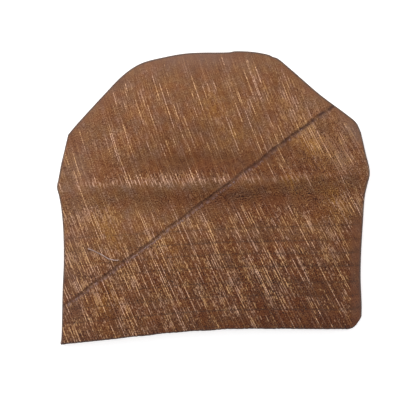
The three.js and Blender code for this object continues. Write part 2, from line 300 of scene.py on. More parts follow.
def seam_place(x, y, front):
    """Distance above the seam, and the place along it. On the back the seam's line goes on round the
    left fold, as if the back were unrolled past it."""
    unrolled = x if front else 2 * SECTIONS["left_x"][0] - x
    above = (y - SEAM_Y) * math.cos(SEAM_TURN) - unrolled * math.sin(SEAM_TURN)
    along = unrolled * math.cos(SEAM_TURN) + (y - SEAM_Y) * math.sin(SEAM_TURN)
    waver = 0.5 * waves(along / 34, 0, 37) + 0.22 * waves(along / 6, 0, 41)
    return above + waver, along


def seam_relief(above, along):
    """A groove with a low lip on its upper side and a high one on its lower side, where the turned
    allowance lies under the cloth and ends a finger's width below the seam. Puckers cross it."""
    pucker = 1 + 0.3 * np.sin(ONE_TURN * along / PUCKER_PITCH) + 0.2 * waves(along / 9, 0, 3)
    groove = -GROOVE_DEPTH * bell(above, GROOVE_WIDTH) * pucker
    upper_lip = UPPER_LIP * bell(above - LIP_AWAY, 1.0)
    lower_lip = LOWER_LIP * bell(above + LIP_AWAY, 1.1) * pucker
    allowance = smooth_step(-above, 0, 1.2)
    allowance = allowance * smooth_fall(-above, ALLOWANCE_WIDTH - 2.5, ALLOWANCE_WIDTH + 1)
    ripples = 0.1 * waves(along / 4.6, above / 16, 5) * bell(above, 7)
    return groove + upper_lip + lower_lip + ALLOWANCE_RISE * allowance + ripples


def furrows(climb, width):
    """How far a place at climb is drawn in by the stitch rows: a bell at each row, by its pull."""
    return (STITCH_ROWS["pull"] * bell(climb[..., None] - STITCH_ROWS["up"], width)).sum(-1)


def band_relief(climb, x):
    """Furrows along the stitch rows, deepest at each stitch's ends, soft quilting between them, and
    short puckers across them."""
    pulled = 0.75 + 0.25 * np.cos(ONE_TURN * x / STITCH_PITCH)
    sewn = -FURROW_DEPTH * furrows(climb, FURROW_WIDTH) * pulled
    puckers = PUCKER_RISE * waves(x / 5.5, climb / 17, 7) * smooth_fall(climb, 98, 118)
    quilting = QUILT_RISE * np.cos(ONE_TURN * (climb - QUILT_START) / QUILT_PITCH)
    quilting = quilting * smooth_fall(climb, 92, 110)
    turned_hem = HEM_RISE * smooth_fall(climb, HEM_DEPTH - 1.5, HEM_DEPTH + 1.5)
    return sewn + puckers + quilting + turned_hem


def cloth_relief(climb, x, y, front):
    """How far the outside stands off its form: the seam, the band's sewing, the ridge's crease and
    slow undulations, all fading out towards the folds."""
    from_fold = np.min(fold_distances(climb, x, y), 0)
    fade = smooth_step(from_fold, 0.8, RELIEF_FADE)
    seam = seam_relief(*seam_place(x, y, front)) * smooth_step(from_fold, 0.2, 1.6)
    if not front:
        return np.clip(seam, -BACK_GROOVE, 0) - BACK_FURROW * fade * furrows(climb, FURROW_WIDTH)
    crease = bell(climb - RIDGE_UP, CREASE_WIDTH) * (0.45 + 0.25 * waves(x / 23, 0, 11))
    slow = 0.45 * waves(x / 62, y / 44, 13) + 0.12 * waves(x / 17, y / 24, 17)
    crumple = 0.22 * waves(x / 15, climb / 9, 19) * bell(climb - CRUMPLE_UP, 11)
    return seam + fade * (band_relief(climb, x) + crease + slow + crumple)


def edge_waver(climb, x, y):
    """Small steps of the outline in x and y: the pointed corner of the mouth, a waver of the hem, and a
    step and a nick in the crown's edge."""
    from_left = x - fold_ends(climb)[0]
    point = bell(from_left, 3.5) * np.exp(-climb / 2.2)
    hem = (0.2 * waves(x / 17, 0, 23) + 0.14 * waves(x / 5, 0, 29)) * np.exp(-climb / 7)
    step = 0.4 * np.tanh((x - EDGE_STEP_X) / 1.6) * bell(x - EDGE_STEP_X, 13)
    step = (step - 0.7 * bell(x - EDGE_NICK_X, 2.4)) * bell(edge_height(x) - y, 6)
    return np.stack([-POINT_OUT * point, hem - POINT_DOWN * point + step], -1)


def cloth_surface(climb, share, front, depth=0.0):
    """A layer of the cloth, sunk square to its outside by depth. The relief dies out with the depth."""
    form = cloth_form(climb, share, front)
    x, y = form[..., 0], form[..., 1]
    relief = cloth_relief(climb, x, y, front) * smooth_fall(depth, 0, MOUTH_ROUND)
    points = form + outward(climb, share, front) * (relief - depth)[..., None]
    points[..., :2] += edge_waver(climb, x, y)
    return points


PLACING_STEPS = 30


def place_at(x, y):
    """The climb and share of a point in plan, found by a few steps that each put right what is left."""
    share = np.full_like(x, 0.5)
    climb = np.full_like(y, 0.5 * VALLEY_UP)
    for _ in range(PLACING_STEPS):
        now_x, now_y = plan_point(climb, share)
        left, right = fold_ends(climb)
        rise = (plan_point(climb + 0.5, share)[1] - plan_point(climb - 0.5, share)[1]).clip(0.2)
        share = np.clip(share + (x - now_x) / (right - left), 0, 1)
        climb = np.clip(climb + 0.9 * (y - now_y) / rise, 0, CROWN_TOP)
    return climb, share


# The grid that a layer is worked out on

FOLD_STEPS = np.r_[1 - np.cos(np.radians(np.arange(0, 91, 15))), 1.35, 1.8, 2.4]
CROWDING = 0.3
RIM_DROPS = np.array([5.0, 3.8, 2.6, 1.93, 1.3, 0.76, 0.35, 0.09, 0.0])
RIM_START = 6.5
STEEPEST_EDGE = 1.5
# How much closer rows lie at the seam, the ridge and the stitch rows, and within what distance
SEAM_CROWDING, RIDGE_CROWDING, STITCH_CROWDING = (3.4, 3.4), (0.9, 9.0), (1.2, 1.1)
FINE_STEPS = 1500


def column_shares(climbs):
    """Each column's share of the way across: at even angles round both folds' quarter circles, and
    spread between them, a little closer beside the crown's corners."""
    steps = len(FOLD_STEPS)
    left, right = fold_ends(climbs)
    radius = mix(BAND_FOLD, CROWN_FOLD, crown_part(climbs)) / (right - left)
    middle_columns = climbs.shape[1] - 2 * steps
    even = np.arange(1, middle_columns + 1) / (middle_columns + 1)
    crowded = even + CROWDING * np.sin(4 * np.pi * even) / (4 * np.pi)
    first = radius[:, steps:-steps] * FOLD_STEPS[-1]
    from_left, from_right = radius[:, :steps] * FOLD_STEPS, 1 - radius[:, -steps:] * FOLD_STEPS[::-1]
    return np.concatenate([from_left, mix(first, 1 - first, crowded), from_right], 1)


def crown_drop(share, drop):
    """The climb that lies drop below the crown's edge, square to it, on the column at share."""
    x = mix(CROWN_LEFT, CROWN_RIGHT, share)
    length = edge_height(x) - plan_point(np.full_like(share, VALLEY_UP), share)[1]
    longer = np.minimum(np.hypot(1, edge_slope(x)), STEEPEST_EDGE)
    return VALLEY_UP + CROWN_LENGTH * (1 - drop * longer / length)


def climb_rows(rows, middle_columns):
    """The climbs of a grid, row by row and column by column. Rows are spaced evenly on the running total
    of a density: 1, and a bell more at the seam, the ridge and every stitch row. The last ones go round
    the crown's edge."""
    columns = middle_columns + 2 * len(FOLD_STEPS)
    share = column_shares(np.full((1, columns), 0.5 * VALLEY_UP))[0]
    fine = mix(MOUTH_ROUND, crown_drop(share, RIM_START), np.linspace(0, 1, FINE_STEPS)[:, None])
    x, y = plan_point(fine, share)
    density = 1 + SEAM_CROWDING[0] * bell(seam_place(x, y, True)[0], SEAM_CROWDING[1])
    density = density + RIDGE_CROWDING[0] * bell(fine - RIDGE_UP, RIDGE_CROWDING[1])
    density = density + STITCH_CROWDING[0] * furrows(fine, STITCH_CROWDING[1])
    total = np.cumsum(density, 0)
    total = (total - total[0]) / (total[-1] - total[0])
    # Every column is inverted in one call, each shifted past the one before it.
    shift = 2.0 * np.arange(columns)
    wanted = (np.linspace(0, 1, rows)[:, None] + shift).T.ravel()
    climbs = np.interp(wanted, (total + shift).T.ravel(), fine.T.ravel()).reshape(columns, rows).T
    return np.concatenate([climbs, crown_drop(share, RIM_DROPS[:, None])])


class Layers:
    """Rings of cloth in the order in which a skin joins them. Each ring is a row of climbs and shares,
    and the depth that it lies at."""

    def __init__(self, columns):
        self.climbs = np.zeros((0, columns))
        self.depths = np.zeros((0, 1))

    def add(self, climbs, depth):
        """Adds rings from rows of climbs, or from one climb for each ring."""
        climbs = np.reshape(climbs, (len(climbs), -1)) + np.zeros(self.climbs.shape[1])
        self.climbs = np.concatenate([self.climbs, climbs])
        self.depths = np.concatenate([self.depths, np.reshape(depth, (-1, 1)) + 0 * climbs[:, :1]])

    def turn(self, radius, angles):
        """Adds the rings of a half circle at the mouth."""
        turned = np.radians(angles)
        self.add(MOUTH_ROUND - radius * np.sin(turned), MOUTH_ROUND - radius * np.cos(turned))

    def sides(self):
        """The climbs, the shares, whether it is the front, and the depths: of the front, from the left
        fold on, and of the back, from the right."""
        shares = column_shares(self.climbs)
        front = (self.climbs, shares, True, self.depths)
        return front, (self.climbs[:, ::-1], shares[:, ::-1], False, self.depths)


def quad_corners(halves):
    """The values at the four corners of every quad between two rings, for each half in turn. The
    corners start at the one that a crown corner's shorter diagonal leaves from."""
    corners = [halves[:-1, :, :-1], halves[1:, :, :-1], halves[1:, :, 1:], halves[:-1, :, 1:]]
    corners = np.stack(corners, 3)
    corners[0, :, -1] = np.roll(corners[0, :, -1], 1, 1)
    corners[-1, :, 0] = np.roll(corners[-1, :, 0], 1, 1)
    return corners.reshape(-1, 4, *halves.shape[3:])


def skin_numbers(rings, columns, closed_crown):
    """The vertex number of every place of a skin's two halves. The halves share the fold's columns,
    and the first and last rings are shared by front and back where the crown closes."""
    around = 2 * columns - 2
    loop = np.stack([np.arange(columns), (columns - 1 + np.arange(columns)) % around])
    numbers = np.arange(rings)[:, None, None] * around + loop
    if closed_crown:
        for ring in (0, rings - 1):
            numbers[ring, 1] = numbers[ring, 0, ::-1]
    return numbers


def new_object(name, data):
    """An object in the scene, at the origin."""
    made = bpy.data.objects.new(name, data)
    bpy.context.scene.collection.objects.link(made)
    return made


def new_mesh(name, points, faces):
    """A smooth mesh from points in millimetres and an array of faces with like numbers of corners."""
    mesh = bpy.data.meshes.new(name)
    mesh.from_pydata(points * MM, [], faces, shade_flat=False)
    mesh.validate()
    return new_object(name, mesh)


def add_map(piece, name, corners):
    """A UV map from a pair of values at each corner."""
    piece.data.uv_layers.new(name=name).uv.foreach_set("vector", corners.ravel().astype(np.float32))


def add_field(piece, name, values):
    """A named value at each vertex."""
    made = piece.data.attributes.new(name, "FLOAT", "POINT")
    made.data.foreach_set("value", values.astype(np.float32))


def skin(name, layers, closed_crown):
    """A closed cloth surface over all rings of the layers. Gives the piece, and for each vertex its
    place among the halves."""
    places = np.stack([cloth_surface(*side) for side in layers.sides()], 1)
    rings, _, columns, _ = places.shape
    numbers = skin_numbers(rings, columns, closed_crown)
    if not closed_crown:
        numbers = np.concatenate([numbers, numbers[:1]])
    faces = quad_corners(numbers[..., None])[..., 0]
    used, first = np.unique(numbers, return_index=True)
    return new_mesh(name, places.reshape(-1, 3)[first], np.searchsorted(used, faces)), first


# The weave

CLOTH_LEAN = 0.42
ABOVE_LEAN = (0.43, 0.0005, -0.0007)
BELOW_LEAN = (0.47, 0.0005, 0.0003)
FOLD_X = 143.0
ONCE_ROUND = 4 * FOLD_X
TURNED_REACH = 30.0
# Cloth that lies deeper than this is turned away from the outside.
OUTSIDE_DEPTH = 0.5


class Spots:
    """Places on the front or on the back of the cloth, where its maps and fields are worked out."""

    def __init__(self, climb, share, front, depth):
        self.climb, self.front, self.depth = climb, front, depth
        self.outer = depth < OUTSIDE_DEPTH
        self.x, self.y = plan_point(climb, share)
        self.left, self.right = fold_ends(climb)
        distances = fold_distances(climb, self.x, self.y)
        self.from_right, self.from_edge = distances[1:]
        self.from_fold = np.min(distances, 0)


def leaned(x, y, lean):
    """How far a thread has moved sideways at y: its lean at the origin grows slowly with x and with y."""
    return lean[0] * y + lean[1] * x * y + lean[2] * y * y / 2


def weave_place(across, lean, y):
    """Millimetres across and along the threads, from the place round the cap and the threads' lean."""
    square = 1 / math.hypot(1, CLOTH_LEAN)
    return np.stack([(across + lean) * square, (y - CLOTH_LEAN * across) * square], -1)


def weave_above(at):
    """The weave of the cloth above the seam. On the back it goes on round the left fold, and its lean
    changes evenly to that of the cloth below the seam, which it meets at the right fold."""
    if at.front:
        return weave_place(at.x + ONCE_ROUND, leaned(at.x, at.y, ABOVE_LEAN), at.y)
    inward = at.right - at.x
    turned = 2 * FOLD_X - at.x + 2 * (at.right - FOLD_X) * np.exp(-inward / TURNED_REACH)
    leans = leaned(at.right, at.y, BELOW_LEAN), leaned(at.left, at.y, ABOVE_LEAN)
    return weave_place(turned, mix(*leans, inward / (at.right - at.left)), at.y)


def weave_below(at):
    """The weave of the cloth below the seam, and of the corner of the back that it turns on to."""
    if at.front:
        return weave_place(at.x, leaned(at.x, at.y, BELOW_LEAN), at.y)
    return weave_place(2 * at.left - at.x, leaned(at.left, at.y, BELOW_LEAN), at.y)


def seam_map(at):
    """The distance above the seam, and the place along it."""
    return np.stack(seam_place(at.x, at.y, at.front), -1)


# Where more or less of the metal thread shows
GLINTS = ellipses(
    (-118, 62, 30, 46, 0, -0.1),
    (98, 56, 34, 12, -40, 0.3),
    (124, -2, 14, 14, 0, 0.2),
    (-122, -14, 30, 14, 0, 0.3),
    (70, 96, 40, 16, -38, 0.12),
    (-40, 20, 60, 6, 2, 0.2),
    (60, -70, 70, 40, 20, 0.1),
    (92, -92, 46, 26, -20, -0.12),
    (-100, -70, 40, 30, 30, 0.1),
    (0, 122, 90, 12, 0, -0.18),
    (128, 50, 12, 22, 0, 0.16),
)
# Where the cloth is a yellower brown
OCHRES = ellipses(
    (92, 48, 22, 10, -58, 1.0),
    (74, 14, 12, 8, -30, 0.7),
    (116, -4, 18, 10, -60, 0.9),
    (102, -20, 10, 8, 0, 0.5),
    (0, 86, 12, 16, 0, 0.5),
    (18, 58, 12, 10, 0, 0.4),
    (-100, -28, 26, 12, -62, 0.6),
    (-102, -98, 14, 12, 0, 0.7),
    (-42, -52, 30, 14, -62, 0.35),
)
# Where the cloth is lighter or darker, partly painted light and shade: darker towards the lower right, away
# from the light, and below and above the ridge
TONES_AND_PAINTED_LIGHT = ellipses(
    (50, -100, 120, 62, 6, -0.15),
    (95, -120, 70, 13, 4, -0.08),
    (10, -123, 34, 9, 4, 0.1),
    (120, 20, 34, 50, 0, -0.06),
    (-98, -38, 45, 36, 0, 0.06),
    (-74, -28, 14, 30, 0, 0.1),
    (-116, -20, 18, 16, 0, -0.14),
    (-52, -46, 14, 14, 0, -0.07),
    (34, -12, 48, 18, 0, -0.16),
    (20, 33, 62, 14, 0, -0.1),
    (52, -74, 16, 20, 0, -0.1),
    (108, 42, 26, 20, 0, -0.21),
    (136, -10, 12, 20, 0, -0.1),
    (110, 5, 14, 7, 0, 0.08),
    (116, -14, 26, 18, 0, -0.18),
    (52, -20, 40, 12, 0, -0.13),
    (76, 34, 22, 8, 0, -0.1),
    (-70, 122, 18, 12, 20, 0.12),
    (-26, 108, 16, 10, 0, 0.08),
    (48, 126, 22, 10, 0, 0.1),
    (98, 92, 44, 9, -41, 0.12),
    (-116, 68, 14, 12, 45, 0.1),
    (-136, -66, 8, 20, 0, 0.08),
)
# Where the cloth is a greyer pink brown, beside its folds and edges
GREYED_PATCHES = ellipses(
    (-20, 136, 60, 14, 2, 0.5),
    (-100, 100, 40, 9, 45, 0.25),
    (-128, 30, 12, 40, 0, 0.2),
    (-130, -70, 14, 60, 0, 0.15),
    (96, 104, 30, 8, -40, 0.2),
    (134, 64, 22, 6, -52, 0.4),
)
# How much lighter or darker the cloth is painted: the band darker, painted shade at the hem's edge, in the
# ridge's hollows and on its far side, a painted highlight on its crest, and the rolled strip a little
# lighter
BAND_TONE, HOLLOW_PAINTED_SHADE, VALLEY_PAINTED_SHADE = -0.27, -0.13, -0.12
CREST_PAINTED_HIGHLIGHT, FAR_SIDE_PAINTED_SHADE, HEM_PAINTED_SHADE, STRIP_TONE = 0.2, -0.2, -0.1, 0.05
HOLLOW_UP, CREST_UP, FAR_SIDE_UP, VALLEY_MIDDLE = 127.5, 137.5, 147.5, 158.0
BAND_GLINT, CROWN_GLINT, INSIDE_GLINT = 0.52, 0.49, 0.25
ROLL_STRIP = 9.5
# How much further the back lies from its folds, so that it gets less painted rim shade
BACK_RIM_SHADE_SHIFT = 1.8


def below_ridge(at):
    """Up to 1 in the hollow below the ridge, less towards both its ends, and 0 away from it."""
    ends = mix(0.45, 1, smooth_step(at.x, -110, 10)) * (1 - 0.7 * smooth_step(at.x, 85, 122))
    return bell(at.climb - HOLLOW_UP, 9) * ends


def above_ridge(at):
    """1 in the middle of the valley above the ridge, and 0 away from it."""
    return bell(at.climb - VALLEY_MIDDLE, 9) * bell(at.x + 12, 62)


def rolled_strip(at):
    """1 on the strip of the band that rolls to the side on the right, and 0 away from it."""
    return smooth_fall(at.from_right, ROLL_STRIP - 0.6, ROLL_STRIP + 0.6) * smooth_fall(at.climb, 98, 116)


def glint_field(at):
    """How much metal thread shows, about 0.5 on average. The ridge's two hollows have less of it, the
    front's turned hem a little less, the crown's edge and the rolled strip none. The lack in the hollows,
    at the crown's edge and on the rolled strip is painted shade: there the cloth turns away from the light
    and its metal thread does not shine."""
    amount = mix(BAND_GLINT, CROWN_GLINT, smooth_step(at.climb, 112, 150))
    # Less metal thread in the ridge's hollows: painted shade, where the thread faces away from the light
    amount = amount - 0.5 * below_ridge(at) - 0.35 * above_ridge(at)
    if at.front:
        turned_hem = smooth_fall(at.climb, 17, 21) * smooth_step(at.x, -40, 30)
        amount = amount + bells(GLINTS, at.x, at.y) - 0.11 * turned_hem
    # None at the crown's edge, nor on the rolled strip below: painted shade where the cloth turns away from
    # the light
    amount = np.where(at.outer, amount * smooth_step(at.from_edge, 0.5, 10), INSIDE_GLINT)
    return amount * (1 - rolled_strip(at))


def crest_field(at):
    """How strongly the bent threads shine on the ridge's crest: most on the left half of the front."""
    return (0.3 + 0.55 * bell(at.x + 60, 110)) * at.outer * at.front


def tone_and_painted_light_field(at):
    """How light the cloth is beside the rest, from -1 to 1: darker in the band, at the hem, in the ridge's
    hollows and on its far side, and lighter on its crest and on the rolled strip. The darkening at the
    hem's edge, in the hollows and on the far side is painted shade, the crest's lightening a painted
    highlight, and the table's patches are partly painted light and shade."""
    # Painted shade along the hem's edge, and the band darker
    tone = HEM_PAINTED_SHADE * smooth_fall(at.climb, 2.5, 6) + BAND_TONE * smooth_fall(at.climb, 55, 120)
    if not at.front:
        return tone
    middle = smooth_step(at.x, -125, -90) * smooth_fall(at.x, 80, 120)
    # Painted shade in the ridge's hollows and on its far side, and a painted highlight on its crest
    tone = tone + HOLLOW_PAINTED_SHADE * below_ridge(at) + VALLEY_PAINTED_SHADE * above_ridge(at)
    tone = tone + FAR_SIDE_PAINTED_SHADE * bell(at.climb - FAR_SIDE_UP, 5.5) * middle
    tone = tone + CREST_PAINTED_HIGHLIGHT * bell(at.climb - CREST_UP, 4) * smooth_fall(at.x, 40, 80)
    tone = tone + STRIP_TONE * smooth_fall(at.from_right, ROLL_STRIP - 0.5, ROLL_STRIP + 0.5)
    return tone + bells(TONES_AND_PAINTED_LIGHT, at.x, at.y)


def ochre_field(at):
    """Where the cloth is a yellower brown. The back has one broad patch of it."""
    return bells(OCHRES, at.x, at.y) if at.front else 0.4 * bell(at.x - 30, 60) * bell(at.y - 40, 40)


def broken_field(at):
    """Where the metal thread comes and goes in short lengths: on the crown's right, less on the back."""
    return smooth_step(at.x, 50, 100) * smooth_step(at.climb, 95, 125) * (0.8 if at.front else 0.3)


def picks_field(at):
    """How plainly the weave's picks show: on the front, most in the hollow below the ridge, and some on
    the crown's left shoulder."""
    shoulder = 0.6 * bell(at.x + 112, 36) * bell(at.y - 56, 40)
    return (below_ridge(at) + shoulder) * at.outer * at.front


def greyed_field(at):
    """How far the cloth turns a greyer pink brown: beside its folds and on the rolled strip."""
    return bells(GREYED_PATCHES, at.x, at.y) + 0.12 * rolled_strip(at) if at.front else 0.15 * bell(at.from_edge, 12)


def furrow_shade_field(at):
    """How dark the painted shade in a stitch row's furrow is. It shows least on the left of the front."""
    shown = mix(0.25, 1, smooth_step(at.x, -100, -20)) if at.front else 0.5
    return furrows(at.climb, 0.8) * at.outer * shown


def rim_field(at):
    """The distance to the nearest fold or edge in millimetres, which sets the painted grey-brown shade
    along the folds. It is larger on the inside and the back, which get less of that painted shade."""
    return np.minimum(at.from_fold, at.climb + 0.7 * at.depth) + (0.0 if at.front else BACK_RIM_SHADE_SHIFT)


def climb_field(at):
    """How far up the cloth a place lies."""
    return at.climb


WEAVE_MAPS = {"above_seam": weave_above, "below_seam": weave_below, "seam": seam_map}
WEAVE_FIELDS = {
    "glint": glint_field,
    "crest": crest_field,
    "tone": tone_and_painted_light_field,
    "ochre": ochre_field,
    "broken": broken_field,
    "picks": picks_field,
    "greyed": greyed_field,
    "furrow": furrow_shade_field,
    "rim": rim_field,
    "climb": climb_field,
}


def dress_weave(piece, layers, first):
    """Gives a cloth the maps and the fields that its finish reads."""
    sides = [Spots(*side) for side in layers.sides()]
    for name, work_out in WEAVE_MAPS.items():
        add_map(piece, name, quad_corners(np.stack([work_out(at) for at in sides], 1)))
    for name, work_out in WEAVE_FIELDS.items():
        add_field(piece, name, np.stack([work_out(at) for at in sides], 1).reshape(-1)[first])


# Pieces

SHELL_ROWS, SHELL_COLUMNS = 160, 168
FACING_ROWS, FACING_COLUMNS = 30, 60
INNER_STEP = 6
OUTER_TURN, INNER_TURN = (22, 45, 67, 90, 112, 135, 157, 180), (180, 135, 90, 45, 0)
HEM_CLIMBS = (8.0, 15.0, HEM_DEPTH - 0.4)


def cap_cloth():
    """The whole cap in one cloth: over its outside, round the mouth, up the turned hem and back down
    it, and up the inside to the crown again."""
    rows = climb_rows(SHELL_ROWS, SHELL_COLUMNS)
    rim_rows = len(RIM_DROPS)
    layers = Layers(rows.shape[1])
    layers.add(rows[::-1], 0.0)
    layers.turn(MOUTH_ROUND, OUTER_TURN)
    layers.add(HEM_CLIMBS, HEM_BACK)
    layers.add([HEM_DEPTH], (HEM_BACK + HEM_FACE) / 2)
    layers.add(HEM_CLIMBS[::-1], HEM_FACE)
    layers.turn(INNER_ROUND, INNER_TURN)
    layers.add(rows[INNER_STEP:-rim_rows:INNER_STEP], CLOTH_WALL)
    layers.add(rows[-rim_rows:], CLOTH_WALL)
    piece, first = skin("cap_cloth", layers, True)
    dress_weave(piece, layers, first)
    return piece


def band_lining():
    """The second cloth inside the band, a flat loop between the outer cloth and the turned hem."""
    rows = np.linspace(FACING_START, FACING_END, FACING_ROWS)
    layers = Layers(FACING_COLUMNS + 2 * len(FOLD_STEPS))
    layers.add(rows[::-1], FACE_DEPTH)
    layers.add(rows, FACE_DEPTH + FACING_WALL)
    piece, _ = skin("band_lining", layers, False)
    return piece


THREAD_SIDES = 6
CAPSULE_RINGS = ((0.12, 0.62), (0.5, 1.0), (0.88, 0.62))


def circles(side, upward):
    """Points on a circle of radius one, turned from each side direction to its upward direction."""
    turned = ONE_TURN * np.arange(THREAD_SIDES)[:, None] / THREAD_SIDES
    return side[:, None] * np.cos(turned) + upward[:, None] * np.sin(turned)


def threads(name, points):
    """Closed threads, joined into one mesh. Each row of points holds one thread: a pole, rings of points
    and a pole. Triangles join each ring to the next, and both poles to the rings beside them."""
    count, size, _ = points.shape
    step = np.arange(THREAD_SIDES)
    after = (step + 1) % THREAD_SIDES
    top = size - 1 - THREAD_SIDES
    low = np.arange(1, top, THREAD_SIDES)[:, None]
    high = low + THREAD_SIDES
    faces = np.concatenate([
        np.stack([0 * step, 1 + after, 1 + step], 1),
        np.stack([low + step, low + after, high + after], -1).reshape(-1, 3),
        np.stack([low + step, high + after, high + step], -1).reshape(-1, 3),
        np.stack([top + step, top + after, 0 * step + size - 1], 1),
    ])
    shift = size * np.arange(count)[:, None, None]
    return new_mesh(name, points.reshape(-1, 3), (faces + shift).reshape(-1, 3))


def capsules(name, starts, ends, normals, radius, lift):
    """Short rounded threads. Each has three rings round the line from its start to its end, which
    arches by its lift along the normal, as half a sine wave."""
    forward = ends - starts
    ring = circles(unit(np.cross(forward, normals)), normals) * radius
    arch = normals * np.reshape(lift, (-1, 1))
    rings = []
    for part, wide in CAPSULE_RINGS:
        middle = starts + forward * part + arch * math.sin(math.pi * part)
        rings.append(middle[:, None] + ring * wide)
    return threads(name, np.concatenate([starts[:, None], *rings, ends[:, None]], 1))


STITCH_LENGTH = 2.4
STITCH_RADIUS = 0.24
STITCH_LIFTS = {True: 0.45, False: 0.1}
STITCHES_END = 4.0


def row_stitches():
    """One stitch for each pitch along every row of the band, on the front and on the back, sunk into
    the cloth by its own radius at both ends."""
    parts = []
    for row in STITCH_ROWS["up"]:
        left, right = fold_ends(row)
        width = right - left
        count = int((width - 2 * STITCHES_END) / STITCH_PITCH)
        middle = mix(STITCHES_END / width, 1 - STITCHES_END / width, (np.arange(count) + 0.5) / count)
        half = 0.5 * STITCH_LENGTH / width
        climb = np.full(count, row)
        for front, lift in STITCH_LIFTS.items():
            normal = outward(climb, middle, front)
            sunk = normal * STITCH_RADIUS
            ends = [cloth_surface(climb, middle + to, front) - sunk for to in (-half, half)]
            parts.append((*ends, normal, np.full(count, lift)))
    starts, ends, normals, lifts = (np.concatenate(column) for column in zip(*parts))
    return capsules("band_stitches", starts, ends, normals, STITCH_RADIUS, lifts)


SEAM_FIRST, SEAM_LAST, SEAM_PITCH = -138.0, 112.0, 1.5
SEAM_LENGTH, SEAM_RADIUS, SEAM_LIFT = 2.2, 0.3, 0.15


def on_cloth(x, y):
    """Points of the front's outside over points in plan, with the outward direction there."""
    climb, share = place_at(x, y)
    return cloth_surface(climb, share, True), outward(climb, share, True)


def seam_threads():
    """Glimpses of the sewing thread on the seam's lower lip, slanted a little to the seam, with drawn
    places and lengths. They show most in the seam's lower half, and hardly at all over the crown."""
    draw = np.random.default_rng(31)
    x = np.arange(SEAM_FIRST, SEAM_LAST, SEAM_PITCH)
    x = x[draw.random(len(x)) < 0.08 + 0.6 * bell(x + 55, 34)]
    direction = np.array([math.cos(SEAM_TURN), math.sin(SEAM_TURN)])
    side = np.array([-direction[1], direction[0]])
    y = SEAM_Y + x * math.tan(SEAM_TURN)
    middle = np.stack([x, y], 1) - side * seam_place(x, y, True)[0][:, None]
    reach = direction * (0.5 * SEAM_LENGTH * draw.uniform(0.5, 1.2, (len(x), 1)))
    low = middle - reach - side * draw.uniform(1.2, 2.3, (len(x), 1))
    high = middle + reach - side * draw.uniform(0.8, 1.7, (len(x), 1))
    starts, normals = on_cloth(*low.T)
    ends, _ = on_cloth(*high.T)
    lifted = normals * 0.5 * SEAM_RADIUS
    return capsules("seam_threads", starts + lifted, ends + lifted, normals, SEAM_RADIUS, SEAM_LIFT)


LOOSE_THREAD = table(
    ("x", "y", "lift"),
    [
        (-118.3, -48.2, 0.0),
        (-114.0, -49.6, 0.3),
        (-109.0, -51.8, 0.7),
        (-104.5, -54.0, 0.7),
        (-99.5, -57.0, 0.5),
        (-95.6, -58.4, 0.6),
        (-91.5, -59.0, 0.3),
        (-88.4, -58.8, 0.0),
    ],
)
PLY_RADIUS, PLY_TWIST = 0.24, 3.1
TUBE_RINGS = 110


def tube(line, normals, radius):
    """The points of a thread with a ring square to its line at each of the line's points."""
    forward = np.gradient(line, axis=0)
    side = unit(np.cross(forward, normals))
    rings = line[:, None] + circles(side, unit(np.cross(side, forward))) * radius[:, None, None]
    return np.concatenate([line[:1], rings.reshape(-1, 3), line[-1:]])


def loose_thread():
    """A broken end of sewing thread that lies on the cloth: two plies wound round each other along a
    curve through a few points, which part at both ends."""
    knots = np.arange(len(LOOSE_THREAD["x"]), dtype=float)
    at = np.linspace(0, knots[-1], TUBE_RINGS)
    x, y, lift = (smooth_curve(at, knots, LOOSE_THREAD[name]) for name in ("x", "y", "lift"))
    ground, normals = on_cloth(x, y)
    line = ground + normals * (lift + 2 * PLY_RADIUS)[:, None]
    forward = np.gradient(line, axis=0)
    length = np.cumsum(np.linalg.norm(forward, axis=1))
    side = unit(np.cross(forward, normals))
    middle = 2 * at / knots[-1] - 1
    apart = PLY_RADIUS * (0.95 + 1.6 * middle**8)
    taper = PLY_RADIUS * np.sqrt(np.clip(1 - middle**12, 0.02, 1)) * (1 - 0.3 * smooth_step(middle, 0.2, 1))
    plies = []
    for ply in (0, 1):
        angle = ONE_TURN * length[:, None] / PLY_TWIST + np.pi * ply
        wound = side * np.cos(angle) + normals * np.sin(angle)
        plies.append(tube(line + wound * apart[:, None], normals, taper))
    return threads("loose_thread", np.stack(plies))


# Finishes


def colour(red, green, blue):
    """A colour as a screen shows it, 0 to 255, made linear."""
    shown = np.array([red, green, blue]) / 255
    linear = np.where(shown <= 0.04045, shown / 12.92, ((shown + 0.055) / 1.055) ** 2.4)
    return (*linear, 1.0)


def arithmetic(operation):
    """A method that adds one step of arithmetic on a value, or on two."""

    def step(value, other=0.0):
        return value.finish.node("ShaderNodeMath", {0: value, 1: other}, 0, operation=operation)

    return step


class Value:
    """What a node puts out. Arithmetic on it adds a node for each step."""

    __add__, __sub__ = arithmetic("ADD"), arithmetic("SUBTRACT")
    __mul__, __pow__ = arithmetic("MULTIPLY"), arithmetic("POWER")
    __abs__, floor, sine = arithmetic("ABSOLUTE"), arithmetic("FLOOR"), arithmetic("SINE")
    larger, exceeds = arithmetic("MAXIMUM"), arithmetic("GREATER_THAN")

    def __init__(self, finish, socket):
        self.finish, self.socket = finish, socket

    def __truediv__(self, number):
        return self * (1 / number)

    def ramp(self, low, high, start=0.0, end=1.0):
        """Goes smoothly from start to end as the value goes from low to high."""
        inputs = {0: self, 1: low, 2: high, 3: start, 4: end}
        return self.finish.node("ShaderNodeMapRange", inputs, 0, interpolation_type="SMOOTHSTEP")

    def fade(self, low, high):
        """Goes smoothly from 1 to 0 as the value goes from low to high."""
        return self.ramp(low, high, 1.0, 0.0)


